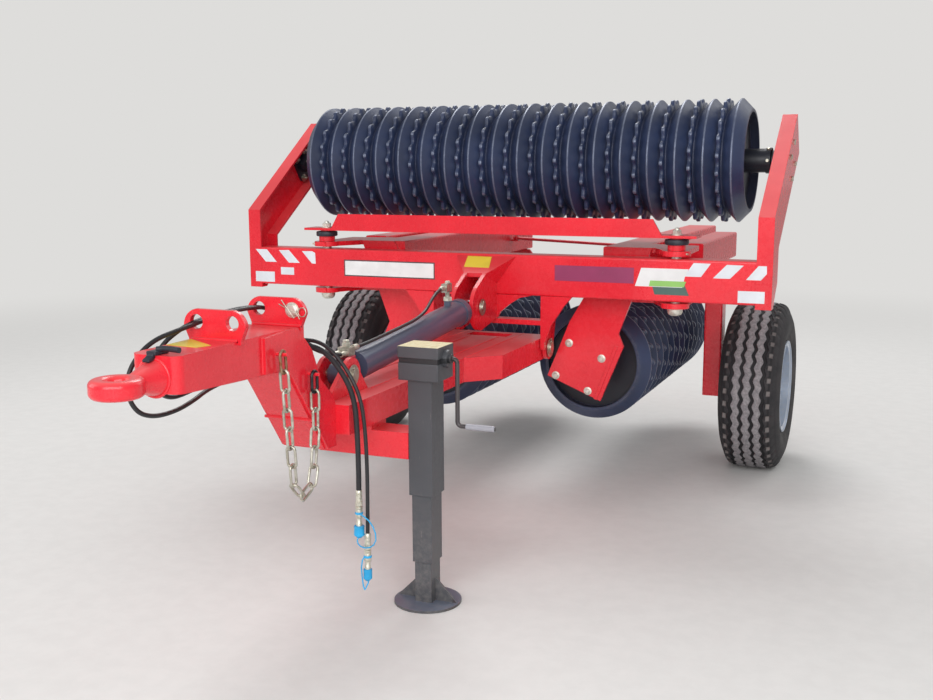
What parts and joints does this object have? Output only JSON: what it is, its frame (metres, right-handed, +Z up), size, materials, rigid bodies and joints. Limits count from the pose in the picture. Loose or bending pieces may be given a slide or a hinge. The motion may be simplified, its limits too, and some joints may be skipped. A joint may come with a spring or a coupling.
{
  "type": "folded land roller",
  "caption": "Trailed field roller folded for the road: ring rollers on a tipping frame with two swing wings, drawbar with eye, hydraulic cylinder, jack and two wheels.",
  "frame": {"origin": "on the ground, midway across the machine and midway along its length from the hitch eye's front to the wings' rear ends", "axes": "+Z up, +Y to the rear, +X to the machine's right seen in the order's picture"},
  "size_m": [2.294, 4.156, 1.643],
  "materials": {
    "red": "gloss",
    "black": "satin",
    "grey": "satin",
    "barrel": "satin",
    "chrome": "polished",
    "zinc": "zinc plated",
    "tyre": "matt rubber",
    "rim": "silver",
    "hose": "matt"
  },
  "bodies": {
    "drawbar": {"hitch_eye": "red", "drawbar_neck": "red", "drawbar_deck": "red", "jack_bracket": "red", "jack_tube": "grey", "base_lugs": "red", "base_pin": "zinc", "tilt_pin": "zinc", "safety_chain": "zinc", "hose_right": "hose", "hose_left": "hose", "coupling_right": "zinc", "coupling_left": "zinc"},
    "jack_leg": {"jack_leg": "grey"},
    "cylinder_barrel": {"cylinder_barrel": "barrel", "barrel_hose": "hose"},
    "cylinder_rod": {"cylinder_rod": "chrome"},
    "frame": {"front_beam": "red", "arm_right": "red", "arm_left": "red", "upper_bar": "red", "wing_pin_right": "zinc", "wing_pin_left": "zinc", "pivot_lugs": "red", "cylinder_lugs": "red", "rod_pin": "zinc", "top_bearings": "black"},
    "top_roller": {"rings_top": "black", "stars_top": "black", "shaft_top": "black"},
    "wing_tie": {"wing_tie": "red"},
    "wing_right": {"wing_frame_right": "red", "wheel_leg_right": "red", "hangers_right": "red"},
    "roller_right": {"rings_right": "black", "stars_right": "black", "shaft_right": "black"},
    "wheel_right": {"tyre_right": "tyre", "rim_right": "rim"},
    "wing_left": {"wing_frame_left": "red", "wheel_leg_left": "red", "hangers_left": "red"},
    "roller_left": {"rings_left": "black", "stars_left": "black", "shaft_left": "black"},
    "wheel_left": {"tyre_left": "tyre", "rim_left": "rim"}
  },
  "joints": [
    {"name": "frame_tilt", "type": "hinge", "parent": "drawbar", "child": "frame", "pos_m": [0, 0.306, 0.635], "axis": [-1, 0, 0], "range_deg": [0, 90]},
    {"name": "cylinder_swing", "type": "hinge", "parent": "drawbar", "child": "cylinder_barrel", "pos_m": [0, -1.004, 0.738], "axis": [1, 0, 0], "range_deg": [0, 0.75]},
    {"name": "rod_slide", "type": "slide", "parent": "cylinder_barrel", "child": "cylinder_rod", "axis": [0, 0.9969, 0.0783], "range_m": [0, 0.44]},
    {"name": "jack_slide", "type": "slide", "parent": "drawbar", "child": "jack_leg", "axis": [0, 0, 1], "range_m": [0, 0.15]},
    {"name": "tie_swing", "type": "hinge", "parent": "wing_left", "child": "wing_tie", "pos_m": [-0.424, 1.736, 0.98], "axis": [0, 0, -1], "range_deg": [0, 90]},
    {"name": "top_roller_spin", "type": "hinge", "parent": "frame", "child": "top_roller", "pos_m": [0, 0.691, 1.393], "axis": [1, 0, 0], "continuous": true},
    {"name": "wing_right_swing", "type": "hinge", "parent": "frame", "child": "wing_right", "pos_m": [0.775, 0.286, 0.95], "axis": [0, 0, -1], "range_deg": [0, 90]},
    {"name": "roller_right_spin", "type": "hinge", "parent": "wing_right", "child": "roller_right", "pos_m": [0.37, 1.136, 0.54], "axis": [0, 1, 0], "continuous": true},
    {"name": "wheel_right_spin", "type": "hinge", "parent": "wing_right", "child": "wheel_right", "pos_m": [0.988, 1.136, 0.38], "axis": [1, 0, 0], "continuous": true},
    {"name": "wing_left_swing", "type": "hinge", "parent": "frame", "child": "wing_left", "pos_m": [-0.775, 0.286, 0.95], "axis": [0, 0, 1], "range_deg": [0, 90]},
    {"name": "roller_left_spin", "type": "hinge", "parent": "wing_left", "child": "roller_left", "pos_m": [-0.37, 1.136, 0.54], "axis": [0, 1, 0], "continuous": true},
    {"name": "wheel_left_spin", "type": "hinge", "parent": "wing_left", "child": "wheel_left", "pos_m": [-0.988, 1.136, 0.38], "axis": [1, 0, 0], "continuous": true}
  ],
  "couplings": [
    {"joint": "rod_slide", "follows": "frame_tilt", "m_per_rad": 0.27372},
    {"joint": "cylinder_swing", "follows": "frame_tilt", "ratio": 0.00822}
  ]
}
